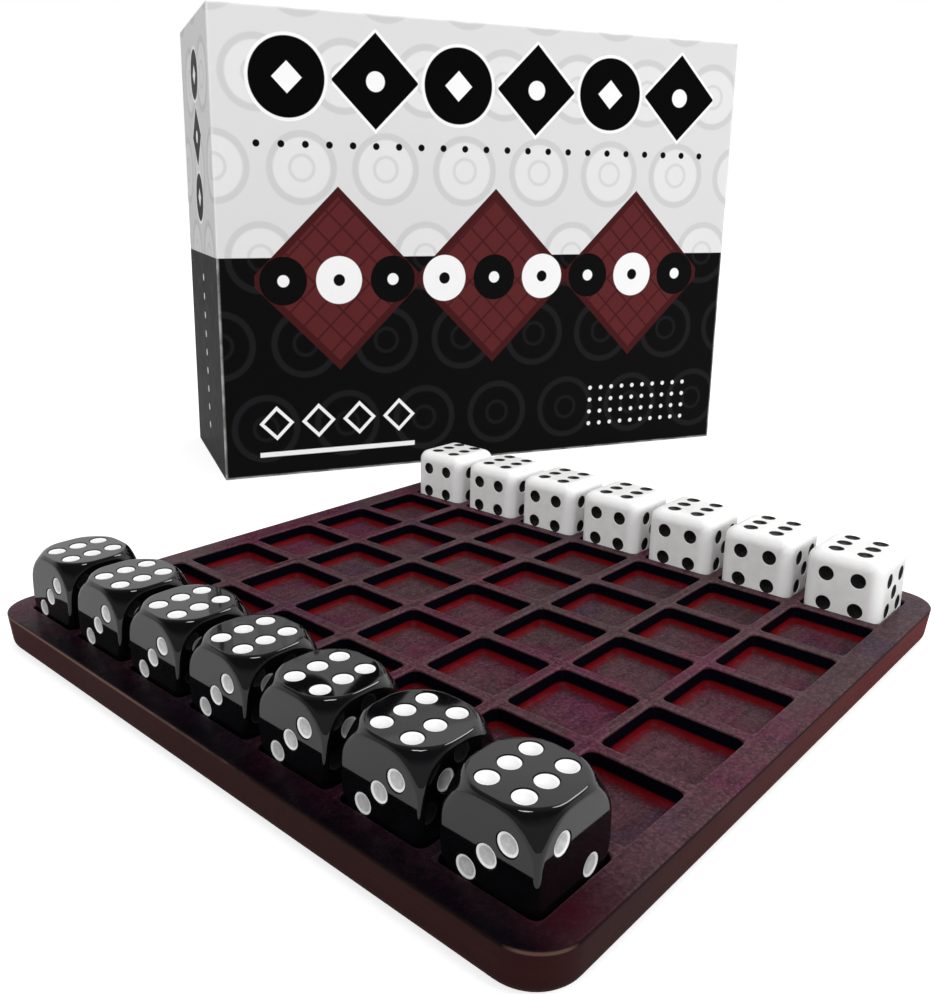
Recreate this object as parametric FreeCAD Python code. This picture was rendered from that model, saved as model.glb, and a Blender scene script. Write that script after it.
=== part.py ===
import FreeCAD
import Part
import math
import os

# Dice battle game: a routed wooden board with 7 by 7 wells, seven black and seven white dice in its
# two end rows, and the carton it comes in, which stands on its long edge behind the board.
# Millimetres, +Z up. The origin is the centre of the board's underside, on the table.
# X runs from the black row to the white row, Y along each row.

V = FreeCAD.Vector
ORIGIN = V(0, 0, 0)
UP = V(0, 0, 1)

# Dice
DIE = 25.0
CELLS = 7
BLACK_EDGE_ROUND = 1.2
BLACK_CORNER_SPHERE = 1.42 * DIE / 2
WHITE_EDGE_ROUND = 4.2
# Pips: rim radius, drilled depth, depth of the paint's dish, and how far below the face it starts
BLACK_PIP = {"radius": 2.7, "depth": 0.9, "dish": 0.55, "below": 0.0}
WHITE_PIP = {"radius": 2.45, "depth": 1.1, "dish": 0.9, "below": 0.2}
PIP_ROW = 7.0
PIP_PAIR = 4.6
PIP_DIAGONAL = 5.1

# Board
PITCH = 29.5
WELL = 26.2
WELL_DEPTH = 5.5
WELL_CORNER = 2.7
WELL_FLOOR_ROUND = 1.4
WELL_RIM_BREAK = 0.4
BOARD = 220.0
BOARD_THICK = 12.0
BOARD_CORNER = 12.0
SIDE_TAPER = 1.2
BOTTOM_ROUND = 3.5
TOP_BREAK = 0.5

# Carton: a lid as deep as the box, and the tray it slides over, in the carton's own axes
CARTON_WIDE = 294.0
CARTON_DEEP = 95.0
CARTON_HIGH = 227.0
CARTON_AT = V(48.4, 209.4, 0)
CARTON_TURN = -26.0
CARD = 1.4
CARD_FOLD = 0.6
LID_GAP = 0.4
TRAY_FRONT_GAP = 1.6

# Folded card insert and rules sheet inside the tray
INSERT_CARD = 1.0
INSERT_GAP = 0.4
BOARD_BAY = 222.0
BAY_DEPTH = 17.0
PAPER = 0.4
SHEET_WIDE = 150.0
SHEET_HIGH = 205.0
SHEET_FOLD_GAP = 0.5
SHEET_SPINE_ROUND = 0.6
SHEET_AT = 34.0

BOARD_TOP = BOARD_THICK
WELL_FLOOR = BOARD_TOP - WELL_DEPTH
DIE_CENTRE = WELL_FLOOR + DIE / 2

PIPS = {
    1: [(0, 0)],
    2: [(-1, 1), (1, -1)],
    3: [(-1, 1), (0, 0), (1, -1)],
    4: [(-1, -1), (-1, 1), (1, -1), (1, 1)],
    5: [(-1, -1), (-1, 1), (0, 0), (1, -1), (1, 1)],
}
# Each face of a die: number, outward normal, and the direction that counts as its first axis
FACES = [
    (6, V(0, 0, 1), V(1, 0, 0)),
    (1, V(0, 0, -1), V(1, 0, 0)),
    (3, V(-1, 0, 0), V(0, 1, 0)),
    (4, V(1, 0, 0), V(0, 1, 0)),
    (2, V(0, -1, 0), V(1, 0, 0)),
    (5, V(0, 1, 0), V(1, 0, 0)),
]


def save(node, shape):
    shape.exportStep(os.path.join("parts", node + ".step"))
    print("%-18s solids %2d valid %s volume %9.1f" % (
        node, len(shape.Solids), shape.isValid(), shape.Volume))


def moved(shape, offset):
    copy = shape.copy()
    copy.translate(offset)
    return copy


def rounded_square(side, corner, z):
    """Closed wire of a square with round corners, centred on the Z axis."""
    flat = side / 2 - corner
    edges = []
    for quarter in range(4):
        turn = FreeCAD.Rotation(UP, 90 * quarter)
        start = turn.multVec(V(side / 2, -flat, z))
        end = turn.multVec(V(side / 2, flat, z))
        middle = turn.multVec(V(flat + corner * math.sqrt(0.5), flat + corner * math.sqrt(0.5), z))
        after = turn.multVec(V(flat, side / 2, z))
        edges.append(Part.LineSegment(start, end).toShape())
        edges.append(Part.Arc(end, middle, after).toShape())
    return Part.Wire(edges)


def edges_at_height(shape, z):
    return [e for e in shape.Edges
            if abs(e.BoundBox.ZMin - z) < 1e-4 and abs(e.BoundBox.ZMax - z) < 1e-4]


def cell_centre(column, row, z):
    middle = (CELLS - 1) / 2
    return V((column - middle) * PITCH, (row - middle) * PITCH, z)


# Board

def well_tool():
    """What the router takes out of one well. Its rim is broken at 45 degrees, past the board's top."""
    tall = Part.Face(rounded_square(WELL, WELL_CORNER, WELL_FLOOR)).extrude(V(0, 0, WELL_DEPTH))
    tall = tall.makeFillet(WELL_FLOOR_ROUND, edges_at_height(tall, WELL_FLOOR))
    rim = Part.makeLoft([
        rounded_square(WELL, WELL_CORNER, BOARD_TOP - WELL_RIM_BREAK),
        rounded_square(WELL + 4 * WELL_RIM_BREAK, WELL_CORNER + 2 * WELL_RIM_BREAK,
                       BOARD_TOP + WELL_RIM_BREAK)], True, True)
    return tall.fuse(rim)


def make_board():
    slab = Part.makeLoft([
        rounded_square(BOARD - 2 * SIDE_TAPER, BOARD_CORNER, 0),
        rounded_square(BOARD, BOARD_CORNER, BOARD_TOP)], True, True)
    slab = slab.makeFillet(BOTTOM_ROUND, edges_at_height(slab, 0))
    slab = slab.makeFillet(TOP_BREAK, edges_at_height(slab, BOARD_TOP))
    tool = well_tool()
    tools = [moved(tool, cell_centre(column, row, 0))
             for column in range(CELLS) for row in range(CELLS)]
    return slab.cut(Part.makeCompound(tools))


# Dice, modelled about their own centre

def black_blank():
    """A cube with narrow round edges, its corners turned off on a sphere."""
    cube = Part.makeBox(DIE, DIE, DIE, V(-DIE / 2, -DIE / 2, -DIE / 2))
    cube = cube.makeFillet(BLACK_EDGE_ROUND, cube.Edges)
    return cube.common(Part.makeSphere(BLACK_CORNER_SPHERE))


def white_blank():
    cube = Part.makeBox(DIE, DIE, DIE, V(-DIE / 2, -DIE / 2, -DIE / 2))
    return cube.makeFillet(WHITE_EDGE_ROUND, cube.Edges)


def pip_places():
    """Centre and outward normal of each of the 21 pips."""
    places = []
    for number, normal, first in FACES:
        second = normal.cross(first)
        if second.z < 0 or second == V(0, -1, 0):
            second = second * -1
        if number == 6:
            spots = [(PIP_ROW * a, PIP_PAIR * b) for a in (-1, 0, 1) for b in (-1, 1)]
        else:
            spots = [(PIP_DIAGONAL * a, PIP_DIAGONAL * b) for a, b in PIPS[number]]
        for a, b in spots:
            places.append((normal * (DIE / 2) + first * a + second * b, normal))
    return places


def dish_radius(rim, depth):
    return (rim * rim + depth * depth) / (2 * depth)


def dish_ball(place, normal, rim, depth):
    radius = dish_radius(rim, depth)
    centre = place + normal * (radius - depth)
    return Part.makeSphere(radius, centre)


def drilled(blank, pip):
    balls = [dish_ball(place, normal, pip["radius"], pip["depth"]) for place, normal in pip_places()]
    return blank.cut(Part.makeCompound(balls))


def paint(pip):
    """The paint left in every pip: the drilled dish less the shallower dish of its surface."""
    drops = []
    for place, normal in pip_places():
        rim = pip["radius"]
        start = place - normal * pip["below"]
        disc = Part.makeCylinder(rim * 1.2, pip["depth"] * 1.5, start, normal * -1)
        drop = disc.common(dish_ball(place, normal, rim, pip["depth"]))
        drops.append(drop.cut(dish_ball(place, normal, rim, pip["dish"])))
    return Part.makeCompound(drops)


def save_dice(colour, column, blank, pip, turn):
    body = drilled(blank, pip)
    marks = paint(pip)
    for shape in (body, marks):
        shape.rotate(ORIGIN, UP, turn)
    for row in range(CELLS):
        node = "die_%s_%d" % (colour, row + 1)
        place = cell_centre(column, row, DIE_CENTRE)
        save(node, moved(body, place))
        save(node + "_pips", moved(marks, place))


# Carton, in its own axes: X along its length, Y from its front to its back, Z up

def stand(shape):
    shape.rotate(ORIGIN, UP, CARTON_TURN)
    shape.translate(CARTON_AT)
    return shape


def box(x0, y0, z0, x1, y1, z1):
    return Part.makeBox(x1 - x0, y1 - y0, z1 - z0, V(x0, y0, z0))


def make_lid():
    """Five walls, open at the back, with the paper's small round at every outside fold."""
    outside = box(0, 0, 0, CARTON_WIDE, CARTON_DEEP, CARTON_HIGH)
    folds = [e for e in outside.Edges if e.BoundBox.YMin < CARTON_DEEP / 2]
    outside = outside.makeFillet(CARD_FOLD, folds)
    inside = box(CARD, CARD, CARD, CARTON_WIDE - CARD, CARTON_DEEP + CARD, CARTON_HIGH - CARD)
    return outside.cut(inside)


def make_tray():
    low = CARD + LID_GAP
    front = CARD + TRAY_FRONT_GAP
    outside = box(low, front, low, CARTON_WIDE - low, CARTON_DEEP, CARTON_HIGH - low)
    low += CARD
    inside = box(low, front - CARD, low, CARTON_WIDE - low, CARTON_DEEP - CARD, CARTON_HIGH - low)
    return outside.cut(inside)


TRAY_INSIDE = 2 * CARD + LID_GAP
TRAY_BACK = CARTON_DEEP - CARD
BAY_FLOOR = CARD + TRAY_FRONT_GAP + BAY_DEPTH


def make_insert():
    """One folded card: a raised bay for the board and, beside it, a trough for the dice."""
    left = TRAY_INSIDE + INSERT_GAP
    right = CARTON_WIDE - TRAY_INSIDE - INSERT_GAP
    low = TRAY_INSIDE + INSERT_GAP
    high = CARTON_HIGH - TRAY_INSIDE - INSERT_GAP
    back = TRAY_BACK - INSERT_GAP
    step = left + BOARD_BAY
    flaps = [
        box(left, BAY_FLOOR, low, left + INSERT_CARD, back, high),
        box(left, BAY_FLOOR, low, step, BAY_FLOOR + INSERT_CARD, high),
        box(step - INSERT_CARD, BAY_FLOOR, low, step, back, high),
        box(step - INSERT_CARD, back - INSERT_CARD, low, right, back, high),
        box(right - INSERT_CARD, BAY_FLOOR, low, right, back, high),
    ]
    return flaps[0].multiFuse(flaps[1:]).removeSplitter()


def make_rules_sheet():
    """Rules sheet folded once, standing in the bay against its floor."""
    x0 = TRAY_INSIDE + INSERT_GAP + SHEET_AT
    x1 = x0 + SHEET_WIDE
    low = TRAY_INSIDE
    high = low + SHEET_HIGH
    thick = 2 * PAPER + SHEET_FOLD_GAP
    back = BAY_FLOOR - INSERT_GAP
    front = back - thick
    folded = box(x0, front, low, x1, back, high)
    between = box(x0 + thick / 2, front + PAPER, low - 1, x1 + 1, back - PAPER, high + 1)
    folded = folded.cut(between)
    spine = [e for e in folded.Edges
             if abs(e.BoundBox.XMax - x0) < 1e-4 and e.BoundBox.ZLength > SHEET_HIGH / 2]
    return folded.makeFillet(SHEET_SPINE_ROUND, spine)


def main():
    os.makedirs("parts", exist_ok=True)
    save("board", make_board())
    save_dice("black", 0, black_blank(), BLACK_PIP, 0)
    save_dice("white", CELLS - 1, white_blank(), WHITE_PIP, 180)
    save("box_lid", stand(make_lid()))
    save("box_base", stand(make_tray()))
    save("box_insert", stand(make_insert()))
    save("rules_sheet", stand(make_rules_sheet()))


main()
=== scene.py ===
import math

import bmesh
import bpy
from bpy.props import FloatProperty, FloatVectorProperty, IntProperty, PointerProperty
from mathutils import Matrix, Vector


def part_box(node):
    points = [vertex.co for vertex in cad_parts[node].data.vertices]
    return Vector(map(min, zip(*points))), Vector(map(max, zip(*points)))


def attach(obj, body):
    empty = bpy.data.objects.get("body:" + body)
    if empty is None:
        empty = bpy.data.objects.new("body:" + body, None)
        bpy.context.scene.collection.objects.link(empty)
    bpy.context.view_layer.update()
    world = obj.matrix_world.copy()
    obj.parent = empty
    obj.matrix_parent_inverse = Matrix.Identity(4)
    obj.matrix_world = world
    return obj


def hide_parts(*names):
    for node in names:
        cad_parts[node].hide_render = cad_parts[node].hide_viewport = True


bl_info = {
    "name": "Dice battle game",
    "version": (1, 0, 0),
    "blender": (4, 5, 0),
    "location": "3D View > Sidebar > Dice game",
    "description": "Board with sunk wells, two rows of dice and the carton they come in",
    "category": "Add Mesh",
}

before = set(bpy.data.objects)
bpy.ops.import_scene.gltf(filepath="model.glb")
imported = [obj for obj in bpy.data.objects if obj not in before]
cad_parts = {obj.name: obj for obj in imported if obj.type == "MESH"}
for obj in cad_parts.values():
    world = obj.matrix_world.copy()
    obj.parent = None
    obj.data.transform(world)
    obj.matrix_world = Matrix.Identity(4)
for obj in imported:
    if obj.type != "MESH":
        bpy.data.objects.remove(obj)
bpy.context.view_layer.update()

# Sizes and places that the frame gives, in metres
MM = 0.001
BOARD_LOW, BOARD_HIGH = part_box("board")
BOARD_SIDE = BOARD_HIGH.x - BOARD_LOW.x
BOARD_TOP = BOARD_HIGH.z
CELLS = 7
FIRST_DIE, SECOND_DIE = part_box("die_black_1"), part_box("die_black_2")
DIE = FIRST_DIE[1].z - FIRST_DIE[0].z
PITCH = SECOND_DIE[0].y - FIRST_DIE[0].y
WELL_FLOOR = FIRST_DIE[0].z
DIE_CENTRE = WELL_FLOOR + DIE / 2
CARTON_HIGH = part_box("box_lid")[1].z

# The carton's other sizes and its place
CARTON_WIDE = 294 * MM
CARTON_DEEP = 95 * MM
CARD = 1.4 * MM
LID_GAP = 0.4 * MM
CARTON_TURN = math.radians(-26)
CARTON_AT = Vector((48.4, 209.4, 0)) * MM
CARTON_PLACE = Matrix.Translation(CARTON_AT) @ Matrix.Rotation(CARTON_TURN, 4, "Z")

# A pip's drilled depth, how far its paint's rim stands over the foot of the lip, and the paint's dish
BLACK_DIE_PIP = {"depth": 0.9 * MM, "skin": 0.02 * MM, "hollow": 0.55 * MM}
WHITE_DIE_PIP = {"depth": 1.1 * MM, "skin": 0, "hollow": 0.8 * MM}
PAINT_GAP = 0.02 * MM
# How finely a pip is shaped: points round it, steps down its dish, where these stop short of the
# middle, and degrees along its lip
PIP_SPOKES = 40
DISH_STEPS = 6
DISH_MIDDLE = 0.12
LIP_ANGLES = (18, 42, 66, 90)

# Where the pips of each number but six stand on a face, as steps along its two axes
DIAGONAL_PIPS = {
    1: [(0, 0)],
    2: [(-1, 1), (1, -1)],
    3: [(-1, 1), (0, 0), (1, -1)],
    4: [(-1, -1), (-1, 1), (1, -1), (1, 1)],
    5: [(-1, -1), (-1, 1), (0, 0), (1, -1), (1, 1)],
}
# Each face of a die: number, outward normal, and the direction that counts as its first axis
DIE_FACES = [
    (6, Vector((0, 0, 1)), Vector((1, 0, 0))),
    (1, Vector((0, 0, -1)), Vector((1, 0, 0))),
    (3, Vector((-1, 0, 0)), Vector((0, 1, 0))),
    (4, Vector((1, 0, 0)), Vector((0, 1, 0))),
    (2, Vector((0, -1, 0)), Vector((1, 0, 0))),
    (5, Vector((0, 1, 0)), Vector((1, 0, 0))),
]
# How far each ring of a die's side lies on the way from its flat face to the next sides
DIE_RINGS = (0, 0.05, 0.1, 0.16, 0.24, 0.35, 0.5, 0.72, 1)
# Halvings that find a die's surface along a direction
REACH_HALVINGS = 44


def length(name, description, millimetres):
    return FloatProperty(name=name, description=description, default=millimetres * MM,
                         min=0, unit="LENGTH", precision=5)


def colour(name, description, value):
    return FloatVectorProperty(name=name, description=description, default=value,
                               subtype="COLOR", size=3, min=0, max=1)


def amount(name, description, value, unit="NONE"):
    return FloatProperty(name=name, description=description, default=value, min=0, unit=unit)


class BoardSettings(bpy.types.PropertyGroup):
    well: length("Well", "Side of a well at the board's top", 26.2)
    well_corner: length("Well corner", "Radius of a well's upright corners", 2.7)
    floor_round: length("Floor round", "Radius between a well's wall and floor", 1.4)
    rim_round: length("Rim round", "Radius of a well's rim", 0.5)
    corner: length("Corner", "Radius of the board's corners", 12)
    taper: length("Side taper", "How far the sides draw in towards the table", 1.2)
    bottom_round: length("Bottom round", "Radius under the sides", 3.5)
    top_round: length("Top round", "Radius of the top edge", 0.5)
    stain: colour("Stain", "Mauve wine stain under the varnish", (0.0984, 0.0396, 0.0516))
    stain_warm: colour("Warm stain", "Magenta patches of the stain", (0.1080, 0.0216, 0.0480))
    stain_dull: colour("Dull stain", "Greyer patches of the stain", (0.0768, 0.0444, 0.0492))
    stain_cool: colour("Cool stain", "Violet patches of the stain", (0.0432, 0.0264, 0.0624))
    # Painted shade: the black dice's margin is darkened to near black where the dice shade it.
    painted_dice_shade: colour("Painted dice shade", "Shade of the black dice painted along their margin", (0.0016, 0.0010, 0.0024))
    side: colour("Side", "Stain on the outer sides", (0.112, 0.0085, 0.0100))
    wall: colour("Wall", "Stain soaked into the well walls", (0.0012, 0.0019, 0.0042))
    foot: colour("Foot", "Stain pooled along the foot of the well walls", (0.1030, 0.0022, 0.0043))


class DiceSettings(bpy.types.PropertyGroup):
    black_edge: length("Black edge", "Edge round of a black die", 1.2)
    black_ball: length("Black ball", "Radius that a black die's corners are turned to", 17.75)
    black_crease: length("Black crease", "Softness of the line round a black die's corners", 0.7)
    white_edge: length("White edge", "Edge round of a white die", 4.2)
    pip_row: length("Pip row", "Spacing of the six's pips along its rows", 7)
    pip_pair: length("Pip pair", "Half the gap between the six's rows", 4.6)
    pip_diagonal: length("Pip diagonal", "Offset of the corner pips", 5.1)
    black_pip: length("Black die pip", "Radius of a pip in a black die", 2.7)
    white_pip: length("White die pip", "Radius of a pip in a white die", 2.45)
    lip: length("Pip lip", "Round of the drilled edge", 0.16)
    spokes: IntProperty(name="Spokes", description="Points round a die's face", default=96, min=48)
    black: colour("Black", "Black plastic", (0.0018, 0.0018, 0.0022))
    white: colour("White", "White plastic", (0.86, 0.86, 0.85))
    white_paint: colour("White paint", "Paint in a black die's pips", (0.90, 0.90, 0.90))
    black_paint: colour("Black paint", "Paint in a white die's pips", (0.002, 0.002, 0.0024))


class CartonSettings(bpy.types.PropertyGroup):
    fold: length("Fold", "Round of the wrapped folds", 0.7)
    card: length("Card", "Thickness of the lid's card", 1.4)
    light: colour("Light ground", "Print on the upper half", (0.70, 0.70, 0.70))
    dark: colour("Dark ground", "Print on the lower half", (0.0042, 0.0042, 0.0046))
    maroon: colour("Maroon", "Middle motif", (0.105, 0.020, 0.022))


class StageSettings(bpy.types.PropertyGroup):
    key: amount("Key", "Power of the large lamp at the front right", 14.5, "POWER")
    side: amount("Side", "Power of the lamp on the right", 6, "POWER")
    top: amount("Top", "Power of the lamp overhead", 4, "POWER")
    fill: amount("Fill", "Power of the lamp on the left", 10.5, "POWER")
    sky: amount("Sky", "Strength of the even light all round", 0.45)
    floor: colour("Floor", "Paper floor", (0.62, 0.62, 0.62))
    backdrop: amount("Backdrop", "What brings the floor to white where it is seen", 0.64)


# Meshes, made as by hand

def object_mode():
    if bpy.context.object and bpy.context.object.mode != "OBJECT":
        bpy.ops.object.mode_set(mode="OBJECT")


def start():
    """Leaves nothing selected, so that the next operator acts on its own piece alone."""
    object_mode()
    bpy.ops.object.select_all(action="DESELECT")


def choose(kind, test):
    """In edit mode, selects only the faces or edges that pass the test."""
    bpy.ops.mesh.select_mode(type=kind)
    bpy.ops.mesh.select_all(action="DESELECT")
    mesh = bmesh.from_edit_mesh(bpy.context.object.data)
    found = [item for item in (mesh.faces if kind == "FACE" else mesh.edges) if test(item)]
    for item in found:
        item.select_set(True)
    mesh.select_flush_mode()
    bmesh.update_edit_mesh(bpy.context.object.data)
    if not found:
        raise RuntimeError("nothing to shape on " + bpy.context.object.name)


def near(a, b, slack=1e-5):
    return abs(a - b) < slack


def edge_level(edge, height):
    return all(near(v.co.z, height) for v in edge.verts)


def between(edge, first, second):
    """Whether one face beside the edge passes the first test and the other face the second."""
    faces = edge.link_faces
    if len(faces) != 2:
        return False
    return (first(faces[0]) and second(faces[1])) or (first(faces[1]) and second(faces[0]))


def facing_up(face):
    return face.normal.z > 0.9


def facing_down(face):
    return face.normal.z < -0.9


def upright(face):
    return abs(face.normal.z) < 0.4


def extrude(offset=(0, 0, 0)):
    bpy.ops.mesh.extrude_region_move(TRANSFORM_OT_translate={"value": offset})


def bevel(width, segments):
    bpy.ops.mesh.bevel(offset=width, offset_type="OFFSET", segments=segments, profile=0.5,
                       affect="EDGES", clamp_overlap=False)


def place_selected(spot):
    """Moves each selected vertex to where spot says."""
    mesh = bmesh.from_edit_mesh(bpy.context.object.data)
    for vertex in mesh.verts:
        if vertex.select:
            vertex.co = spot(vertex.co)
    bmesh.update_edit_mesh(bpy.context.object.data)


def outwards():
    bpy.ops.mesh.select_all(action="SELECT")
    bpy.ops.mesh.normals_make_consistent(inside=False)


def apply_modifier(piece, kind, **settings):
    bpy.context.view_layer.objects.active = piece
    modifier = piece.modifiers.new(kind.lower(), kind)
    for key, value in settings.items():
        setattr(modifier, key, value)
    bpy.ops.object.modifier_apply(modifier=modifier.name)


def smooth(piece):
    """Smooth over the rounds, while the flats stay flat."""
    piece.data.polygons.foreach_set("use_smooth", [True] * len(piece.data.polygons))
    apply_modifier(piece, "WEIGHTED_NORMAL", weight=100, mode="FACE_AREA")


def join(pieces):
    start()
    for piece in pieces:
        piece.select_set(True)
    bpy.context.view_layer.objects.active = pieces[0]
    bpy.ops.object.join()
    return bpy.context.object


def copy_to(piece, place, name=""):
    """A copy of the piece with its own mesh, moved there."""
    copy = piece.copy()
    copy.data = piece.data.copy()
    copy.data.transform(place)
    bpy.context.scene.collection.objects.link(copy)
    if name:
        copy.name = copy.data.name = name
    return copy


def discard(piece):
    mesh = piece.data
    bpy.data.objects.remove(piece)
    bpy.data.meshes.remove(mesh)


def dress(piece, body, slot, finish, *nodes):
    """Gives a finished piece its material, the body it rides on and the nodes it stands for."""
    piece.data.materials.clear()
    piece.data.materials.append(finish)
    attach(piece, body)
    if nodes:
        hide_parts(*nodes)


def lathe(profile, spokes):
    """A closed solid turned about Z, from (radius, height) pairs that start and end near the axis."""
    start()
    radius, height = profile[0]
    bpy.ops.mesh.primitive_circle_add(vertices=spokes, radius=radius, location=(0, 0, height))
    piece = bpy.context.object
    bpy.ops.object.transform_apply(location=True, rotation=True, scale=True)
    bpy.ops.object.mode_set(mode="EDIT")
    bpy.ops.mesh.select_all(action="SELECT")
    for radius, height in profile[1:]:
        extrude()
        place_selected(lambda co: Vector((co.x, co.y, 0)).normalized() * radius
                       + Vector((0, 0, height)))
    bpy.ops.mesh.edge_face_add()
    choose("EDGE", lambda edge: edge.is_boundary)
    bpy.ops.mesh.edge_face_add()
    outwards()
    object_mode()
    return piece


# Board

def board_mesh(sizes):
    """A grid of cells sunk into wells, with the margin, sides and underside drawn from its rim."""
    start()
    field = CELLS * PITCH
    bpy.ops.mesh.primitive_grid_add(x_subdivisions=CELLS, y_subdivisions=CELLS, size=field,
                                    location=(0, 0, BOARD_TOP))
    piece = bpy.context.object
    bpy.ops.object.transform_apply(location=True, rotation=True, scale=True)
    bpy.ops.object.mode_set(mode="EDIT")
    bpy.ops.mesh.select_all(action="SELECT")
    bpy.ops.mesh.inset(use_individual=True, thickness=(PITCH - sizes.well) / 2)
    extrude((0, 0, WELL_FLOOR - BOARD_TOP))
    choose("EDGE", lambda e: near(abs(e.verts[0].co.z - e.verts[1].co.z), BOARD_TOP - WELL_FLOOR))
    bevel(sizes.well_corner, 7)
    choose("EDGE", lambda e: edge_level(e, WELL_FLOOR) and between(e, facing_up, upright))
    bevel(sizes.floor_round, 4)
    choose("EDGE", lambda e: edge_level(e, BOARD_TOP) and between(e, facing_up, upright))
    bevel(sizes.rim_round, 3)

    choose("EDGE", lambda e: e.is_boundary)
    extrude()
    grow = BOARD_SIDE / field
    bpy.ops.transform.resize(value=(grow, grow, 1), center_override=(0, 0, BOARD_TOP))
    extrude((0, 0, -BOARD_TOP))
    draw_in = (BOARD_SIDE - 2 * sizes.taper) / BOARD_SIDE
    bpy.ops.transform.resize(value=(draw_in, draw_in, 1), center_override=(0, 0, 0))
    bpy.ops.mesh.edge_face_add()
    half = BOARD_SIDE / 2 - 2 * sizes.taper
    choose("EDGE", lambda e: all(min(abs(v.co.x), abs(v.co.y)) > half for v in e.verts)
           and abs(e.verts[0].co.z - e.verts[1].co.z) > BOARD_TOP / 2)
    bevel(sizes.corner, 14)
    choose("EDGE", lambda e: edge_level(e, 0) and between(e, facing_down, upright))
    bevel(sizes.bottom_round, 6)
    choose("EDGE", lambda e: edge_level(e, BOARD_TOP) and between(e, facing_up, upright)
           and max(abs(e.verts[0].co.x), abs(e.verts[0].co.y)) > field / 2)
    bevel(sizes.top_round, 3)
    outwards()
    object_mode()
    piece.name = piece.data.name = "routed_board"
    smooth(piece)
    return piece


# Dice, modelled about their own centre

def cube_reach(direction, half, edge_round):
    """How far the surface of a cube with round edges lies from its centre, that way."""
    core = half - edge_round
    near_side, far_side = half * 0.9, half * 2
    for _ in range(REACH_HALVINGS):
        middle = (near_side + far_side) / 2
        past = [max(abs(c) * middle - core, 0) for c in direction]
        if math.hypot(*past) > edge_round:
            far_side = middle
        else:
            near_side = middle
    return (near_side + far_side) / 2


def soft_min(a, b, blend):
    overlap = max(blend - abs(a - b), 0) / blend
    return min(a, b) - overlap * overlap * blend / 4


def die_side(edge_round, ball, crease, spokes):
    """One side of a die, from its flat face out to the planes that it shares with the next sides."""
    half = DIE / 2

    def spot(angle, share):
        reach = max(abs(math.cos(angle)), abs(math.sin(angle)))
        flat_lean = math.atan((half - edge_round) / half / reach)
        if ball:
            flat_lean = min(flat_lean, math.acos(half / (ball - crease)))
        lean = flat_lean + (math.atan(1 / reach) - flat_lean) * share
        direction = Vector((math.cos(angle) * math.sin(lean), math.sin(angle) * math.sin(lean),
                            math.cos(lean)))
        distance = cube_reach(direction, half, edge_round)
        if ball:
            distance = soft_min(distance, ball, crease)
        return direction * distance

    start()
    bpy.ops.mesh.primitive_circle_add(vertices=spokes, radius=half, location=(0, 0, 0))
    piece = bpy.context.object
    bpy.ops.object.mode_set(mode="EDIT")
    bpy.ops.mesh.select_all(action="SELECT")
    for share in DIE_RINGS:
        if share > 0:
            extrude()
        place_selected(lambda co: spot(math.atan2(co.y, co.x), share))
    choose("EDGE", lambda e: e.is_boundary and edge_level(e, half))
    bpy.ops.mesh.edge_face_add()
    object_mode()
    return piece


def die_blank(edge_round, ball, crease, spokes):
    """Six sides joined along their shared planes."""
    side = die_side(edge_round, ball, crease, spokes)
    quarter = math.pi / 2
    turns = [Matrix.Rotation(quarter * n, 4, "X") for n in range(4)]
    turns += [Matrix.Rotation(quarter * n, 4, "Y") for n in (1, 3)]
    blank = join([copy_to(side, turn) for turn in turns])
    discard(side)
    bpy.ops.object.mode_set(mode="EDIT")
    bpy.ops.mesh.select_all(action="SELECT")
    bpy.ops.mesh.remove_doubles(threshold=1e-6)
    outwards()
    object_mode()
    return blank


def pip_places(sizes):
    """The place and turn of each of the 21 pips on a die."""
    places = []
    for number, normal, first in DIE_FACES:
        second = normal.cross(first)
        if second.z < -0.5 or second.y < -0.5:
            second = -second
        if number == 6:
            spots = [(sizes.pip_row * a, sizes.pip_pair * b) for a in (-1, 0, 1) for b in (-1, 1)]
        else:
            step = sizes.pip_diagonal
            spots = [(step * a, step * b) for a, b in DIAGONAL_PIPS[number]]
        turn = normal.to_track_quat("Z", "Y").to_matrix().to_4x4()
        for a, b in spots:
            places.append(Matrix.Translation(normal * (DIE / 2) + first * a + second * b) @ turn)
    return places


def dish(rim, top, depth):
    """(radius, height) pairs down a dish from its rim at height top to its middle, depth lower."""
    ball = (rim * rim + depth * depth) / (2 * depth)
    full = math.asin(min(rim / ball, 1))
    leans = [full * (1 - (1 - DISH_MIDDLE) * n / DISH_STEPS) for n in range(DISH_STEPS + 1)]
    return [(ball * math.sin(lean), top - depth + ball * (1 - math.cos(lean))) for lean in leans]


def keep_rim(piece, shares):
    """Keeps each vertex's distance from a pip's middle, as a share of the pip's radius."""
    piece.data.attributes.new("rim", "FLOAT", "POINT").data.foreach_set("value", shares)


def drill(blank, sizes, rim, depth):
    """Cuts the round-lipped dish of every pip out of the blank."""
    lip = sizes.lip
    mouth = [(rim + lip - lip * math.sin(a), -lip + lip * math.cos(a))
             for a in (math.radians(angle) for angle in LIP_ANGLES)]
    above = (mouth[0][0] + lip / 2, lip * 2)
    profile = [(rim * 0.1, above[1]), above] + mouth + dish(rim, -lip, depth - lip)[1:]
    bit = lathe(profile, PIP_SPOKES)
    places = pip_places(sizes)
    bits = join([copy_to(bit, place) for place in places])
    discard(bit)
    apply_modifier(blank, "BOOLEAN", operation="DIFFERENCE", solver="EXACT", object=bits)
    discard(bits)
    middles = [place.translation for place in places]
    shares = [min((v.co - middle).length for middle in middles) / rim for v in blank.data.vertices]
    keep_rim(blank, shares)


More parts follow.
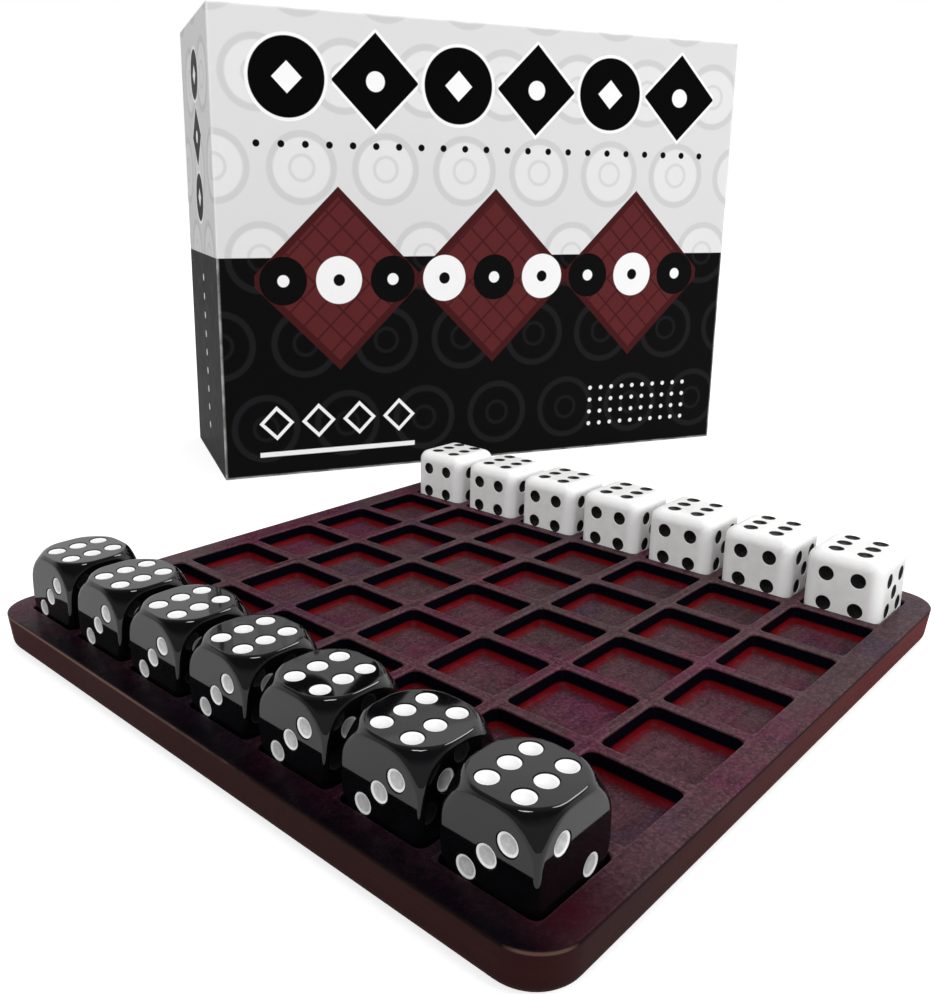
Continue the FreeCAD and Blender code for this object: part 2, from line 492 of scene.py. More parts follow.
def paint_mesh(sizes, rim, depth, skin, hollow):
    """The paint in all 21 pips: each a dished drop that fills its drilled place."""
    lip = sizes.lip
    under = dish(rim - PAINT_GAP, -lip, depth - lip - PAINT_GAP)
    over = dish(rim - PAINT_GAP, -lip + skin, hollow)
    drop = lathe(list(reversed(under)) + over, PIP_SPOKES)
    keep_rim(drop, [math.hypot(v.co.x, v.co.y) / rim for v in drop.data.vertices])
    drops = join([copy_to(drop, place) for place in pip_places(sizes)])
    discard(drop)
    return drops


def dice_row(name, column, turn, blank, paint, body_slot, paint_slot, body_finish, paint_finish):
    """Copies one die and its paint to every well of a column."""
    smooth(blank)
    smooth(paint)
    middle = (CELLS - 1) / 2
    for row in range(CELLS):
        place = Matrix.Translation(((column - middle) * PITCH, (row - middle) * PITCH, DIE_CENTRE))
        place = place @ Matrix.Rotation(turn, 4, "Z")
        node = "die_%s_%d" % (name, row + 1)
        die = copy_to(blank, place, "%s_die_%d" % (name, row + 1))
        dress(die, node, body_slot, body_finish, node)
        marks = copy_to(paint, place, "%s_die_%d_paint" % (name, row + 1))
        dress(marks, node, paint_slot, paint_finish, node + "_pips")
    discard(blank)
    discard(paint)


# Carton

def lid_mesh(sizes):
    """Five walls of wrapped card, open at the back. Its folds are rounded before the card is thick."""
    start()
    middle = Vector((CARTON_WIDE, CARTON_DEEP, CARTON_HIGH)) / 2
    bpy.ops.mesh.primitive_cube_add(size=1, location=middle, scale=middle * 2)
    piece = bpy.context.object
    bpy.ops.object.transform_apply(location=True, rotation=True, scale=True)
    bpy.ops.object.mode_set(mode="EDIT")
    choose("FACE", lambda face: face.normal.y > 0.9)
    bpy.ops.mesh.delete(type="ONLY_FACE")
    choose("EDGE", lambda edge: not edge.is_boundary)
    bevel(sizes.fold, 4)
    outwards()
    object_mode()
    apply_modifier(piece, "SOLIDIFY", thickness=sizes.card, offset=-1, use_even_offset=True)
    piece.data.transform(CARTON_PLACE)
    piece.name = piece.data.name = "carton_lid"
    smooth(piece)
    return piece


# Materials

class Level:
    """A number that varies over a surface. Arithmetic on it adds Math nodes."""

    def __init__(self, finish, socket):
        self.finish, self.socket = finish, socket

    def step(self, operation, *others, clamp=False):
        inputs = dict(enumerate((self,) + others))
        node = self.finish.node("ShaderNodeMath", {"operation": operation, "use_clamp": clamp}, inputs)
        return Level(self.finish, node.outputs[0])

    def reflected(self, operation, other):
        node = self.finish.node("ShaderNodeMath", {"operation": operation}, {0: other, 1: self})
        return Level(self.finish, node.outputs[0])

    def __add__(self, other):
        return self.step("ADD", other)

    def __sub__(self, other):
        return self.step("SUBTRACT", other)

    def __rsub__(self, other):
        return self.reflected("SUBTRACT", other)

    def __mul__(self, other):
        return self.step("MULTIPLY", other)

    def __truediv__(self, other):
        return self.step("DIVIDE", other)

    def __mod__(self, other):
        return self.step("FLOORED_MODULO", other)

    def __abs__(self):
        return self.step("ABSOLUTE")

    __radd__, __rmul__ = __add__, __mul__

    def most(self, other):
        return self.step("MAXIMUM", other)

    def least(self, other):
        return self.step("MINIMUM", other)

    def power(self, other):
        return self.step("POWER", other)

    def below(self, limit, blur):
        """1 where the number is under the limit, 0 where it is over, soft over blur."""
        return self.step("MULTIPLY_ADD", -1 / blur, limit / blur + 0.5, clamp=True)

    def above(self, limit, blur):
        return self.step("MULTIPLY_ADD", 1 / blur, 0.5 - limit / blur, clamp=True)

    def within(self, low, high, blur):
        return self.above(low, blur) * self.below(high, blur)

    def around(self, middle, half, blur):
        return abs(self - middle).below(half, blur)


class Finish:
    """A node material being put together."""

    def __init__(self, name):
        self.material = bpy.data.materials.new(name)
        self.material.use_nodes = True
        self.tree = self.material.node_tree
        self.tree.nodes.clear()

    @classmethod
    def on(cls, tree):
        """For a node tree that isn't a material's, such as the world's."""
        finish = cls.__new__(cls)
        finish.tree = tree
        tree.nodes.clear()
        return finish

    def put(self, socket, value):
        if isinstance(value, Level):
            value = value.socket
        if isinstance(value, bpy.types.NodeSocket):
            self.tree.links.new(value, socket)
        else:
            socket.default_value = value

    def node(self, kind, settings=None, inputs=None):
        """Adds a node. Its settings are made first, then its sockets take values or links."""
        node = self.tree.nodes.new(kind)
        for key, value in (settings or {}).items():
            setattr(node, key, value)
        for key, value in (inputs or {}).items():
            self.put(node.inputs[key], value)
        return node

    def place(self):
        """Object coordinates, in metres."""
        return self.node("ShaderNodeTexCoord").outputs["Object"]

    def mapped(self, vector, location=(0, 0, 0), turn=0.0, scale=(1, 1, 1)):
        return self.node("ShaderNodeMapping", None, {
            "Vector": vector, "Location": location, "Rotation": (0, 0, turn),
            "Scale": scale}).outputs[0]

    def parts(self, vector):
        node = self.node("ShaderNodeSeparateXYZ", None, {0: vector})
        return [Level(self, socket) for socket in node.outputs]

    def vector(self, x, y, z):
        return self.node("ShaderNodeCombineXYZ", None, {0: x, 1: y, 2: z}).outputs[0]

    def shade(self, name):
        """A number kept on each vertex."""
        return Level(self, self.node("ShaderNodeAttribute", {"attribute_name": name}).outputs["Fac"])

    def noise(self, vector, scale, detail=3.0, roughness=0.5):
        return Level(self, self.node("ShaderNodeTexNoise", None, {
            "Vector": vector, "Scale": scale, "Detail": detail, "Roughness": roughness}).outputs[0])

    def mix(self, factor, first, second):
        """One colour turning into another. Each is a socket or three numbers."""
        first, second = [c if isinstance(c, bpy.types.NodeSocket) else (*c, 1) for c in (first, second)]
        return self.node("ShaderNodeMix", {"data_type": "RGBA", "clamp_factor": True},
                         {0: factor, 6: first, 7: second}).outputs[2]

    def bump(self, height, distance, strength=1.0):
        return self.node("ShaderNodeBump", None, {
            "Strength": strength, "Distance": distance, "Height": height}).outputs[0]

    def surface(self, **inputs):
        """The Principled shader. An input's name is written with _ for each space."""
        named = {key.replace("_", " "): value for key, value in inputs.items()}
        shader = self.node("ShaderNodeBsdfPrincipled", None, named)
        output = self.node("ShaderNodeOutputMaterial")
        self.tree.links.new(shader.outputs[0], output.inputs[0])
        return self.material


def tone(colour, share):
    """The colour made darker or lighter."""
    return [c * share for c in colour]


def away(across, up):
    """The distance that two others at right angles make."""
    return (across * across + up * up).power(0.5)


# Colours of small marks on the wood, and of the shade and highlights painted on it
DARK_SPECKS = (0.012, 0.005, 0.007)
PALE_SPECKS = (0.190, 0.110, 0.125)
NEAR_CORNER_SHADE = (0.036, 0.0026, 0.009)
SHADED_SIDE = (0.012, 0.006, 0.006)
PAINTED_RIM_GLINT = (0.150, 0.095, 0.105)
DARK_EDGE = (0.0030, 0.0010, 0.0010)
TOP_EDGE_GLINT = (0.150, 0.090, 0.070)
# Millimetres: where the black row's margin starts, and the board's near corner
BLACK_MARGIN = -78
NEAR_CORNER = (-94, -105)
CORNER_TIP = -210.5


def board_finish(colours):
    """Wine stain under varnish: mauve, magenta and violet patches, black well walls, red at their foot.
    Painted shade darkens the black dice's margin, the near corner and the left side, and painted highlights
    lighten the well rims and parts of the top edge.
    """
    f = Finish("varnished_wine_wood")
    place = f.place()
    x, y, z = f.parts(f.mapped(place, scale=(1 / MM,) * 3))
    top, floor = BOARD_TOP / MM, WELL_FLOOR / MM
    pitch, well = PITCH / MM, colours.well / MM
    cell_x = abs((x + pitch / 2) % pitch - pitch / 2)
    cell_y = abs((y + pitch / 2) % pitch - pitch / 2)
    from_wall = well / 2 - cell_x.most(cell_y)
    field = abs(x).most(abs(y)).below(CELLS * pitch / 2, 0.2)
    sunk = z.below(top - 0.6, 0.3) * field
    outside = z.below(top - 0.25, 0.3) * (1 - field)

    patches = f.noise(place, 24, 3)
    tints = f.noise(f.mapped(place, location=(3, 5, 1)), 38, 3)
    blush = f.noise(f.mapped(place, location=(7, 2, 4)), 28, 2)
    mottle = f.noise(place, 240, 4, 0.65)
    grain = f.noise(f.mapped(place, scale=(60, 700, 700)), 1, 4, 0.6)
    streaks = f.noise(f.mapped(place, scale=(25, 25, 1700)), 1, 3, 0.6)
    pores = f.noise(place, 1100, 3, 0.6)
    hide = f.noise(place, 700, 3, 0.7)

    stain = f.mix(patches.above(0.5, 0.18), colours.stain, colours.stain_dull)
    stain = f.mix(tints.above(0.57, 0.12), stain, colours.stain_warm)
    stain = f.mix(blush.above(0.62, 0.10) * 0.6, stain, colours.stain_cool)
    shade = mottle.above(0.5, 0.35) * 0.28 + grain.above(0.52, 0.2) * 0.20 + hide.above(0.5, 0.25) * 0.36
    stain = f.mix(shade, stain, DARK_SPECKS)
    # Pale specks over the pores: partly the wood's own fleck, partly painted glints of the varnish.
    stain = f.mix(pores.above(0.56, 0.12) * 0.22, stain, PALE_SPECKS)
    # Painted shade along the black dice's margin, less towards the far end, where the dice shade the board.
    deep = (x + mottle * 16).below(BLACK_MARGIN, 44) * (0.97 - (y + mottle * 20).above(96, 24) * 0.7)
    stain = f.mix(deep, stain, colours.painted_dice_shade)
    from_corner = away(x - NEAR_CORNER[0], y - NEAR_CORNER[1]) + mottle * 6
    # Painted shade at the board's near corner, beside the nearest black die.
    stain = f.mix(from_corner.below(9, 15) * 0.85, stain, NEAR_CORNER_SHADE)
    side = f.mix(streaks.above(0.5, 0.25) * 0.4, colours.side, tone(colours.side, 0.4))
    side = f.mix((x + y * 0.25).below(-20, 180) * 0.85, side, SHADED_SIDE)
    colour = f.mix(outside, stain, side)

    foot = sunk * (from_wall + mottle * 4).below(4.0, 3.0)
    colour = f.mix(foot, colour, colours.foot)
    wall = sunk * z.above(floor + 1.3, 0.5) * from_wall.below(0.9, 0.3)
    colour = f.mix(wall, colour, colours.wall)
    # Painted highlight: a pale line along the well rims, where their round would catch the light.
    rim = field * from_wall.within(-0.50, 0.10, 0.35) * z.above(top - 0.5, 0.3)
    colour = f.mix(rim * (1 - deep) * pores * 0.5, colour, PAINTED_RIM_GLINT)
    edge_line = outside * z.above(top - 1.0, 0.3)
    # Painted highlight: a light line on the top edge's round along the left side and at the near corner,
    # which also thins the dark edge line there.
    edge_glint = (x + pores).below(-106, 3) * (y + mottle * 60).above(30, 60)
    edge_glint = edge_glint + (x + y).below(CORNER_TIP, 2) * 0.7
    colour = f.mix(edge_line * (0.95 - edge_glint * 0.95), colour, DARK_EDGE)
    colour = f.mix(edge_line * edge_glint * 0.85, colour, TOP_EDGE_GLINT)

    height = mottle * 1.2 + grain * 0.5 + hide * 0.8 + pores * 0.35 + outside * streaks * 0.4
    rough = 0.18 + patches * 0.14 + pores * 0.08 + outside * 0.25 + sunk * 0.2
    return f.surface(Base_Color=colour, Roughness=rough, Specular_IOR_Level=0.03,
                     Normal=f.bump(height, 0.06 * MM, 0.8))


# Colours of small marks on the dice, and of the shade and highlights painted on them
WHITE_EDGE_GLINT = (0.93, 0.93, 0.93)
PIP_MIDDLE_SHADE = (0.42, 0.42, 0.43)
PIP_RIM_SHADOW = (0.002, 0.002, 0.002)
PALE_BLOTS = (0.012, 0.012, 0.012)


def black_plastic(colours):
    """Polished black plastic with the faint haze and hairlines of handling, dull in the pips' lips."""
    f = Finish("polished_black_plastic")
    place = f.place()
    haze = f.noise(place, 120, 3)
    hair = f.noise(f.mapped(place, turn=0.7, scale=(400, 3000, 400)), 1, 2, 0.7)
    colour = f.mix(haze.above(0.5, 0.3), colours.black, tone(colours.black, 1.5))
    polish = f.bump(hair + haze * 0.5, 0.01 * MM, 0.25)
    rim = f.shade("rim")
    return f.surface(Base_Color=colour, Roughness=0.5, Specular_IOR_Level=0.0, Normal=polish,
                     Coat_Weight=rim.above(1.035, 0.01), Coat_Roughness=0.04)


def white_plastic(colours):
    """Satin white plastic, slightly uneven as moulded, with a painted highlight that whitens its rounded
    edges.
    """
    f = Finish("satin_white_plastic")
    place = f.place()
    x, y, z = f.parts(f.mapped(place, scale=(1 / MM,) * 3))
    pitch = PITCH / MM
    # Distances from the middle of the nearest white die; the second largest is greatest on its edges
    x = abs(x - pitch * (CELLS - 1) / 2)
    y = abs((y + pitch / 2) % pitch - pitch / 2)
    z = abs(z - DIE_CENTRE / MM)
    edge = (x + y + z - x.most(y).most(z) - x.least(y).least(z)).above(9.2, 3)
    cloud = f.noise(place, 260, 4, 0.6)
    dimples = f.noise(place, 620, 3, 0.6)
    colour = f.mix(cloud.above(0.5, 0.3), tone(colours.white, 0.97), tone(colours.white, 0.89))
    # Painted highlight: the rounded edges are whitened as if they reflected the bright surroundings.
    colour = f.mix(edge * 0.8, colour, WHITE_EDGE_GLINT)
    return f.surface(Base_Color=colour, Roughness=0.28 + cloud * 0.1, Specular_IOR_Level=0.45,
                     Normal=f.bump(cloud * 2 + dimples, 0.08 * MM, 0.8))


def white_paint(colours):
    """White paint with a painted shadow line round its edge, and painted shade in the middle of the pips on
    the sides, much less on the top's pips.
    """
    f = Finish("white_pip_paint")
    rim = f.shade("rim")
    blots = f.noise(f.place(), 900, 2)
    # Painted shade: the middles of the pips grow grey, much less on faces that turn upwards.
    upwards = f.parts(f.node("ShaderNodeTexCoord").outputs["Normal"])[2].above(0.6, 0.3)
    pip_shade = rim.below(0.74, 0.12) * (0.45 + blots * 0.7) * (1 - upwards * 0.72)
    colour = f.mix(pip_shade, colours.white_paint, PIP_MIDDLE_SHADE)
    # Painted shadow: a thin black line round the paint's outer edge.
    edge = rim.above(0.94, 0.015)
    colour = f.mix(edge, colour, PIP_RIM_SHADOW)
    uneven = f.bump(blots, 0.05 * MM, 0.3)
    return f.surface(Base_Color=colour, Roughness=0.5, Specular_IOR_Level=0.0, Normal=uneven,
                     Coat_Weight=1 - edge, Coat_Roughness=0.25)


def black_paint(colours):
    """Black paint, slightly blotted."""
    f = Finish("black_pip_paint")
    blots = f.noise(f.place(), 1400, 3)
    colour = f.mix(blots.above(0.5, 0.3), colours.black_paint, PALE_BLOTS)
    return f.surface(Base_Color=colour, Roughness=0.3 + blots * 0.2, Specular_IOR_Level=0.12,
                     Normal=f.bump(blots, 0.12 * MM, 0.5))


def disc(across, up, radius, blur=0.35):
    return away(across, up).below(radius, blur)


def lozenge(across, up, half):
    return (abs(across) + abs(up)).below(half, 0.35)


def area(across, up, left, right, foot, head):
    return across.within(left, right, PRINT_EDGE) * up.within(foot, head, PRINT_EDGE)


WHITE_INK = (0.90, 0.90, 0.90)
PALE_INK = (0.85, 0.85, 0.85)
GREY_INK = (0.80, 0.80, 0.80)
BLACK_INK = (0.004, 0.004, 0.004)
DEEP_INK = (0.002, 0.002, 0.002)
BAR_INK = (0.25, 0.25, 0.26)
DARK_CARD = (0.30, 0.29, 0.27)
PALE_CARD = (0.42, 0.41, 0.38)
BLACK_CARD = (0.018, 0.018, 0.019)
BLACK_CARD_FIBRE = (0.034, 0.034, 0.035)
WHITE_PAPER = (0.86, 0.86, 0.85)
PAPER_FIBRE = (0.80, 0.80, 0.79)
# Millimetres: where the print's dark half ends, the size of its lattice, and how soft its edges are
HORIZON = 111.5
LATTICE = 43
PRINT_EDGE = 0.2
# Areas of the print as left, right, foot and head. A narrow side's left is towards the front.
TITLE_AREA = (14.5, 279.5, 170, 220)
LINE_AREA = (15, 279, 162, 169)
BAND_AREA = (18, 276, 50, 150)
GRID_AREA = (206, 276, 11, 39)
SPINE_AREA = (25, 70, 125, 215)
TAIL_AREA = (42, 53, 14, 104)
# Heights of the middles of the front's rows, and the middle of a narrow side
TITLE_ROW = 196
LINE_ROW = 165.5
BAND_ROW = 100
MARK_ROW = 28
SIDE_ROW = 47.5


class Print:
    """The carton's print, in millimetres of the carton's own axes."""

    def __init__(self, name, colours):
        self.f, self.colours = Finish(name), colours
        self.place = self.f.place()
        turn = -CARTON_TURN
        shift = Matrix.Rotation(turn, 3, "Z") @ CARTON_AT / -MM
        local = self.f.mapped(self.place, location=shift, turn=turn, scale=(1 / MM,) * 3)
        self.x, self.y, self.z = self.f.parts(local)

    def ground(self):
        """Light grey over black, each with a faint lattice of rings."""
        f, colours = self.f, self.colours
        lying = abs(f.parts(f.node("ShaderNodeTexCoord").outputs["Normal"])[2]).above(0.7, 0.2)
        run = self.x + self.y * (1 - lying)
        rise = self.z - 4 + self.y * lying
        row = (rise / LATTICE).step("FLOOR")
        across = (run + row * LATTICE / 2) % LATTICE - LATTICE / 2
        up = rise % LATTICE - LATTICE / 2
        out = away(across, up)
        rings = (out.around(16, 1.6, 0.8) + out.around(6, 0.9, 0.8) * 0.8).least(1)
        light = f.mix(rings, colours.light, tone(colours.light, 0.86))
        light = f.mix(out.below(14, 1) * (1 - rings), light, tone(colours.light, 1.08))
        dark = f.mix(rings, colours.dark, tone(colours.dark, 3))
        return f.mix(self.z.below(HORIZON, 0.3), light, dark)

    def title(self, colour, run, up, mask, pitch, size):
        """A row of bold black discs and lozenges, each with a white outline and eye."""
        f = self.f
        odd = (run / pitch).step("FLOOR") % 2
        across = run % pitch - pitch / 2
        for reach, ink in ((size + 1.6, WHITE_INK), (size, DEEP_INK)):
            shape = disc(across, up, reach) * (1 - odd) + lozenge(across, up, reach * 1.22) * odd
            colour = f.mix(shape * mask, colour, ink)
        eye = disc(across, up, size * 0.26) * odd + lozenge(across, up, size * 0.4) * (1 - odd)
        return f.mix(eye * mask, colour, WHITE_INK)

    def dots(self, colour, run, up, mask, pitch, radius, ink):
        """A row of dots."""
        across = run % pitch - pitch / 2
        return self.f.mix(disc(across, up, radius, 0.3) * mask, colour, ink)

    def finish(self, colour, inset, closed_back):
        """Satin lamination over paper, a little worn along the folds, and bare card inside the walls."""
        f = self.f
        wide, deep, high = CARTON_WIDE / MM, CARTON_DEEP / MM, CARTON_HIGH / MM
        under = self.x.least(wide - self.x).least(self.z).least(high - self.z) - inset
        under = under.least(deep - self.y if closed_back else self.y)
        inside = under.above(CARD / MM / 2, 0.1)
        card = f.noise(self.place, 500, 4, 0.6)
        colour = f.mix(inside, colour, f.mix(card, DARK_CARD, PALE_CARD))
        from_side = self.x.least(wide - self.x)
        from_end = self.z.least(high - self.z)
        near_fold = (self.y + from_side).least(self.y + from_end).least(from_side + from_end)
        scuffs = f.noise(self.place, 90, 4, 0.6)
        worn = near_fold.below(0.9, 1.0) * (0.22 + scuffs.above(0.5, 0.2) * 0.30)
        colour = f.mix(worn, colour, WHITE_PAPER)
        fibre = f.noise(self.place, 1300, 3)
        wave = f.noise(self.place, 14, 2)
        return f.surface(Base_Color=colour, Roughness=0.40 + scuffs * 0.12, Specular_IOR_Level=0.03,
                         Normal=f.bump(wave * 6 + fibre * 0.15, 0.1 * MM, 0.5))


def lid_print(colours):
    """Generic print on the lid: bold shapes above, a maroon band of counters in the middle, dots below."""
    p = Print("carton_lid_print", colours)
    f, x, y, z = p.f, p.x, p.y, p.z
    colour = p.ground()
    front = y.below(0.35, 0.1)
    ends = 1 - front

    in_title = front * area(x, z, *TITLE_AREA)
    colour = p.title(colour, x - TITLE_AREA[0], z - TITLE_ROW, in_title, 44.167, 18.5)
    in_line = front * area(x, z, *LINE_AREA)
    colour = p.dots(colour, x - LINE_AREA[0], z - LINE_ROW, in_line, 12, 1.7, BLACK_INK)

    along, up = x - BAND_AREA[0], z - BAND_ROW
    across = along % 86 - 43
    band = front * area(x, z, *BAND_AREA)
    panel = lozenge(across, up, 46) * band
    inner = lozenge(across, up, 41) * band
    lines = ((x + z) % 14).around(7, 0.7, 0.4).most(((x - z) % 14).around(7, 0.7, 0.4))
    colour = f.mix(panel, colour, tone(colours.maroon, 0.55))
    colour = f.mix(inner, colour, colours.maroon)
    colour = f.mix(inner * lines * 0.6, colour, tone(colours.maroon, 0.3))
    step = 28.667
    run = along % step - step / 2
    odd = (along / step).step("FLOOR") % 2
    for radius, ink, other_ink in ((12, WHITE_INK, BLACK_INK), (3, BLACK_INK, WHITE_INK)):
        shape = disc(run, up, radius) * band
        colour = f.mix(shape * odd, colour, ink)
        colour = f.mix(shape * (1 - odd), colour, other_ink)

    in_mark = front * x.within(16, 104, PRINT_EDGE)
    mark, up = (x - 16) % 22 - 11, z - MARK_ROW
    outline = lozenge(mark, up, 9) * (1 - lozenge(mark, up, 6.6))
    bar = x.within(18, 102, 0.3) * z.within(10.5, 13, 0.3) * front
    colour = f.mix((outline * in_mark).most(bar), colour, WHITE_INK)
    in_grid = front * area(x, z, *GRID_AREA)
    up = (z - GRID_AREA[2]) % 7 - 3.5
    colour = p.dots(colour, x - GRID_AREA[0], up, in_grid, 7, 1.2, PALE_INK)

    in_spine = ends * area(y, z, *SPINE_AREA)
    colour = p.title(colour, z - SPINE_AREA[2], y - SIDE_ROW, in_spine, 30, 12)
    in_tail = ends * area(y, z, *TAIL_AREA)
    colour = p.dots(colour, z - TAIL_AREA[2], y - SIDE_ROW, in_tail, 10, 1.9, GREY_INK)
    return p.finish(colour, 0, False)


def tray_print(colours):
    """The tray has only the print's ground, and bare card inside."""
    p = Print("carton_tray_print", colours)
    return p.finish(p.ground(), (CARD + LID_GAP) / MM, True)


def black_card():
    """Dull black card with a little fibre."""
    f = Finish("black_insert_card")
    place = f.place()
    fibre = f.noise(place, 700, 4, 0.6)
    cloud = f.noise(place, 40, 2)
    colour = f.mix(fibre.above(0.5, 0.4), BLACK_CARD, BLACK_CARD_FIBRE)
    return f.surface(Base_Color=colour, Roughness=0.6 + cloud * 0.2, Specular_IOR_Level=0.3,
                     Normal=f.bump(fibre + cloud * 2, 0.08 * MM, 0.5))


def sheet_paper(colours):
    """White paper with rows of plain grey bars, where a rules sheet has its lines."""
    p = Print("rules_sheet_paper", colours)
    f, x, z = p.f, p.x, p.z
    fibre = f.noise(p.place, 900, 4)
    row = z % 6
    block = (z % 48).above(7, 0.3)
    ragged = f.noise(f.vector(0.0, 0.0, (z / 6).step("FLOOR")), 3.7, 1)
    inside = x.above(52, 0.3) * x.below(172, 0.3) * z.within(16, 196, 0.3)
    bars = row.around(3, 0.7, 0.3) * block * inside * (x - ragged * 40).below(150, 0.3)
    colour = f.mix(fibre.above(0.5, 0.5), WHITE_PAPER, PAPER_FIBRE)
    colour = f.mix(bars * 0.75, colour, BAR_INK)
    return f.surface(Base_Color=colour, Roughness=0.75 + fibre * 0.1, Specular_IOR_Level=0.3,
                     Normal=f.bump(fibre, 0.05 * MM, 0.4))


# Stage

CAMERA_AT = Vector((-224.9, -189.4, 140.8)) * MM
CAMERA_HEADING = 42.588
CAMERA_DIP = 13.785
CAMERA_ROLL = 0.619
CAMERA_LENS = 34.93
CAMERA_SHIFT = (0.0272, -0.0624)
# Each lamp: its setting, place, aim and width in metres, and whether reflections show it
LAMPS = [
    ("key", (0.35, -1.6, 0.9), (0.05, 0, 0.05), 0.9, False),
    ("side", (0.95, 0.12, 1.2), (0, 0, 0.03), 0.55, True),
    ("top", (-0.2, -0.15, 1.5), (0, 0, 0.03), 0.34, True),
    ("fill", (-1.4, -0.45, 0.95), (0, 0, 0.03), 0.8, False),
]
FLOOR_IN_MIRRORS = 0.22
FAR_FLOOR_GAIN = 0.3


def make_camera():
    data = bpy.data.cameras.new("photo_camera")
    camera = bpy.data.objects.new("photo_camera", data)
    bpy.context.scene.collection.objects.link(camera)
    heading, dip, roll = (math.radians(a) for a in (CAMERA_HEADING, CAMERA_DIP, CAMERA_ROLL))
    turn = Matrix.Rotation(heading - math.pi / 2, 4, "Z") @ Matrix.Rotation(math.pi / 2 - dip, 4, "X")
    camera.matrix_world = Matrix.Translation(CAMERA_AT) @ turn @ Matrix.Rotation(roll, 4, "Z")
    data.lens, data.sensor_width = CAMERA_LENS, 36
    data.shift_x, data.shift_y = CAMERA_SHIFT
    data.clip_start, data.clip_end = 0.01, 50
    bpy.context.scene.camera = camera


def make_lamp(name, at, aim, size, power, mirrored):
    data = bpy.data.lights.new(name, "AREA")
    data.shape, data.size, data.energy = "DISK", size, power
    lamp = bpy.data.objects.new(name, data)
    bpy.context.scene.collection.objects.link(lamp)
    lamp.location = at
    lamp.rotation_euler = (Vector(aim) - Vector(at)).to_track_quat("-Z", "Y").to_euler()
    lamp.visible_glossy = mirrored


def rays(finish):
    """1 for what the camera sees by itself, and 1 for what it sees in or through the object."""
    path = finish.node("ShaderNodeLightPath").outputs
    camera, glossy, through = [Level(finish, path["Is %s Ray" % kind])
                               for kind in ("Camera", "Glossy", "Transmission")]
    return camera, glossy.most(through)


def make_sky(strength):
    """Even light, seen as white. Reflections show it white low behind the object and dim elsewhere."""
    world = bpy.data.worlds.new("studio")
    bpy.context.scene.world = world
    world.use_nodes = True
    f = Finish.on(world.node_tree)
    x, y, z = f.parts(f.node("ShaderNodeTexCoord").outputs["Generated"])
    behind = (x * 0.74 + y * 0.67).above(0.0, 0.6)
    low = z.below(0.62, 0.16)
    mirrored = (0.3 + behind * 0.7) * (0.2 + low * 0.8)
    seen, reflected = rays(f)
    level = reflected * mirrored + (1 - reflected) * strength
    level = seen + (1 - seen) * level
    background = f.node("ShaderNodeBackground", None, {"Color": (1, 1, 1, 1), "Strength": level})
    output = f.node("ShaderNodeOutputWorld")
    f.tree.links.new(background.outputs[0], output.inputs[0])


def make_floor(paper, backdrop):
    """A paper floor that keeps the object's shadow and shows white round it."""
    start()
    bpy.ops.mesh.primitive_plane_add(size=40, location=(0, 0, 0))
    floor = bpy.context.object
    floor.name = "floor"
    f = Finish("paper_floor")
    shade = f.noise(f.place(), 3, 2)
    colour = f.mix(shade, paper, tone(paper, 0.98))
    diffuse = f.node("ShaderNodeBsdfDiffuse", None, {"Color": colour})
    seen, reflected = rays(f)
    x, y = f.parts(f.place())[:2]
    far = away(x, y).above(1.2, 1.4)
    level = seen * (backdrop + far * FAR_FLOOR_GAIN) + reflected * FLOOR_IN_MIRRORS
    glow = f.node("ShaderNodeEmission", None, {"Color": (1, 1, 1, 1), "Strength": level})
    both = f.node("ShaderNodeAddShader", None, {0: diffuse.outputs[0], 1: glow.outputs[0]})
    output = f.node("ShaderNodeOutputMaterial")
    f.tree.links.new(both.outputs[0], output.inputs[0])
    floor.data.materials.append(f.material)


# Operators

class DICE_GAME_OT_board(bpy.types.Operator):
    """Routed board in varnished wood"""
    bl_idname = "dice_game.board"
    bl_label = "Board"

    def execute(self, context):
        sizes = context.scene.dice_game_board
        dress(board_mesh(sizes), "board", "board_wood", board_finish(sizes), "board")
        return {"FINISHED"}


class DICE_GAME_OT_black_dice(bpy.types.Operator):
    """Row of black dice with turned corners and white pips"""
    bl_idname = "dice_game.black_dice"
    bl_label = "Black dice"

    def execute(self, context):
        sizes = context.scene.dice_game_dice
        blank = die_blank(sizes.black_edge, sizes.black_ball, sizes.black_crease, sizes.spokes)
        drill(blank, sizes, sizes.black_pip, BLACK_DIE_PIP["depth"])
        paint = paint_mesh(sizes, sizes.black_pip, **BLACK_DIE_PIP)
        dice_row("black", 0, 0, blank, paint, "black_dice", "white_paint",
                 black_plastic(sizes), white_paint(sizes))
        return {"FINISHED"}


class DICE_GAME_OT_white_dice(bpy.types.Operator):
    """Row of soft-edged white dice with black pips"""
    bl_idname = "dice_game.white_dice"
    bl_label = "White dice"

    def execute(self, context):
        sizes = context.scene.dice_game_dice
        blank = die_blank(sizes.white_edge, 0, 0, sizes.spokes)
        drill(blank, sizes, sizes.white_pip, WHITE_DIE_PIP["depth"])
        paint = paint_mesh(sizes, sizes.white_pip, **WHITE_DIE_PIP)
        dice_row("white", CELLS - 1, math.pi, blank, paint, "white_dice", "black_paint",
                 white_plastic(sizes), black_paint(sizes))
        return {"FINISHED"}


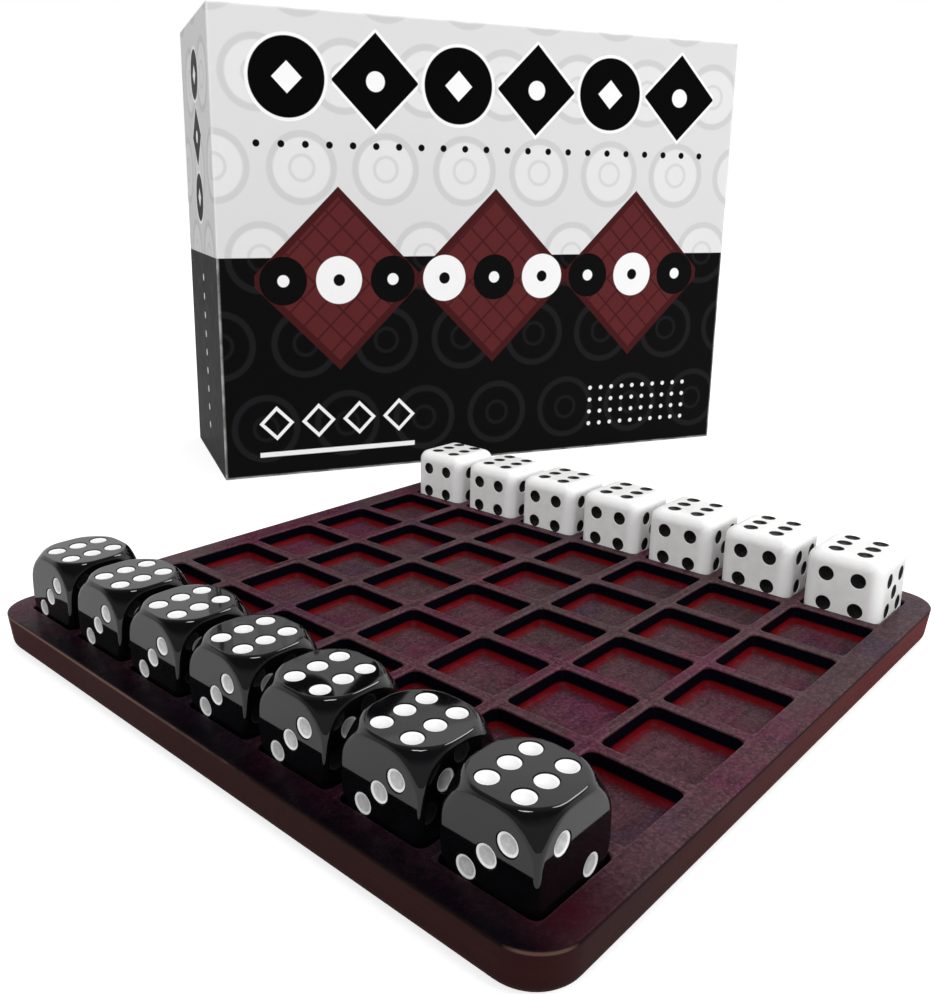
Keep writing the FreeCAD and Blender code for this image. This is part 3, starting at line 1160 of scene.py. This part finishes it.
class DICE_GAME_OT_carton(bpy.types.Operator):
    """Printed lid, tray, insert and rules sheet"""
    bl_idname = "dice_game.carton"
    bl_label = "Carton"

    def execute(self, context):
        sizes = context.scene.dice_game_carton
        dress(lid_mesh(sizes), "box_lid", "lid_card", lid_print(sizes), "box_lid")
        kept = {"box_base": tray_print(sizes), "box_insert": black_card(),
                "rules_sheet": sheet_paper(sizes)}
        for node, finish in kept.items():
            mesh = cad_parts[node].data
            mesh.materials.clear()
            mesh.materials.append(finish)
        return {"FINISHED"}


class DICE_GAME_OT_stage(bpy.types.Operator):
    """Camera, lamps, floor and sky"""
    bl_idname = "dice_game.stage"
    bl_label = "Stage"

    def execute(self, context):
        light = context.scene.dice_game_stage
        context.scene.view_settings.view_transform = "Standard"
        make_camera()
        for name, at, aim, size, mirrored in LAMPS:
            make_lamp(name + "_lamp", at, aim, size, getattr(light, name), mirrored)
        make_sky(light.sky)
        make_floor(light.floor, light.backdrop)
        return {"FINISHED"}


OPERATORS = (DICE_GAME_OT_board, DICE_GAME_OT_black_dice, DICE_GAME_OT_white_dice,
             DICE_GAME_OT_carton, DICE_GAME_OT_stage)
SETTINGS = {"dice_game_board": BoardSettings, "dice_game_dice": DiceSettings,
            "dice_game_carton": CartonSettings, "dice_game_stage": StageSettings}


class DICE_GAME_PT_panel(bpy.types.Panel):
    """Makes each part of the game"""
    bl_label = "Dice game"
    bl_space_type = "VIEW_3D"
    bl_region_type = "UI"
    bl_category = "Dice game"

    def draw(self, context):
        for operator in OPERATORS:
            self.layout.operator(operator.bl_idname)


def register():
    for group in (*SETTINGS.values(), *OPERATORS, DICE_GAME_PT_panel):
        bpy.utils.register_class(group)
    for name, group in SETTINGS.items():
        setattr(bpy.types.Scene, name, PointerProperty(type=group))


def unregister():
    for name in SETTINGS:
        delattr(bpy.types.Scene, name)
    for group in reversed((*SETTINGS.values(), *OPERATORS, DICE_GAME_PT_panel)):
        bpy.utils.unregister_class(group)


def main():
    register()
    for operator in OPERATORS:
        name = operator.bl_idname.split(".")[1]
        getattr(bpy.ops.dice_game, name)()


if __name__ == "__main__":
    main()
